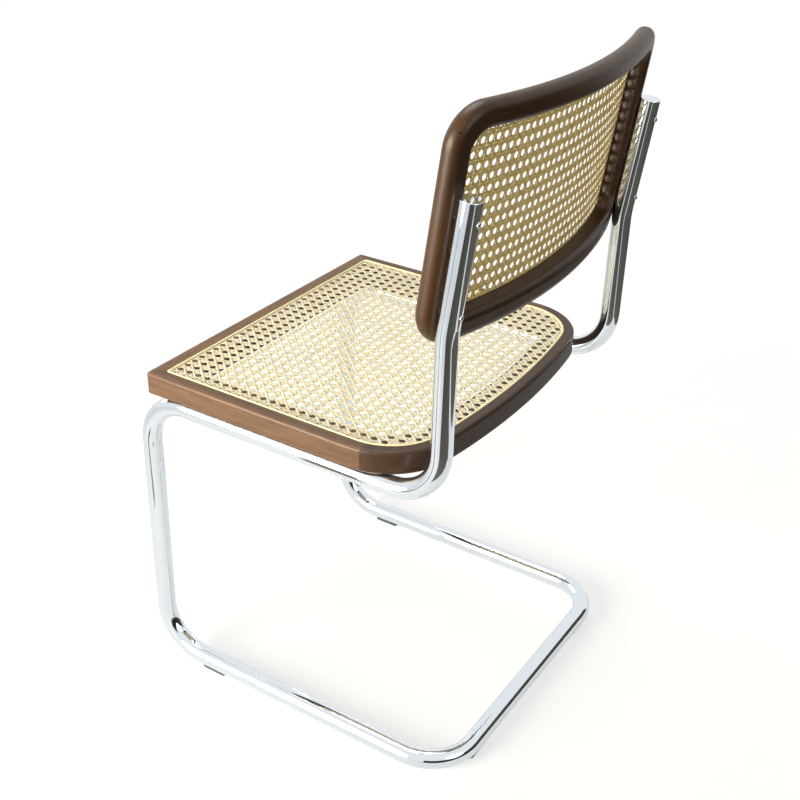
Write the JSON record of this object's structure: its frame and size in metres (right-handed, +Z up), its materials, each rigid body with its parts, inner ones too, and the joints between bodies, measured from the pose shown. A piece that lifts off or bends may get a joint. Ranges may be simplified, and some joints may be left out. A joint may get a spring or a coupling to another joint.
{
  "type": "cane dining chair",
  "caption": "Cantilever dining chair: a bent chromed steel tube carries a wooden seat frame and a curved wooden back frame, both strung with woven cane.",
  "frame": {"origin": "on the floor, under the middle of the base", "axes": "+Z up, -Y towards the front of the seat, +X towards the sitter's left"},
  "size_m": [0.463, 0.4833, 0.8477],
  "materials": {
    "chromed_tube": "polished chrome plate",
    "chromed_cap": "polished chrome plate",
    "glide_plastic": "moulded, matt",
    "stained_beech": "dark walnut stain under satin lacquer",
    "plain_beech": "bare",
    "cane": "natural rattan skin, low sheen",
    "reed": "natural rattan reed, low sheen",
    "screw_steel": "bright zinc plate",
    "spacer_plastic": "moulded, matt"
  },
  "bodies": {
    "root": {"frame_tube": "chromed_tube", "left_end_cap": "chromed_cap", "right_end_cap": "chromed_cap", "front_left_glide": "glide_plastic", "front_right_glide": "glide_plastic", "rear_left_glide": "glide_plastic", "rear_right_glide": "glide_plastic", "seat_front_rail": "stained_beech", "seat_left_rail": "stained_beech", "seat_right_rail": "stained_beech", "seat_rear_bow": "stained_beech", "seat_joint_dowels": "plain_beech", "seat_cane": "cane", "seat_spline": "reed", "seat_screws": "screw_steel", "seat_spacers": "spacer_plastic", "back_top_rail": "stained_beech", "back_bottom_rail": "stained_beech", "back_left_stile": "stained_beech", "back_right_stile": "stained_beech", "back_joint_dowels": "plain_beech", "back_cane": "cane", "back_spline": "reed", "back_screws": "screw_steel"}
  },
  "joints": []
}
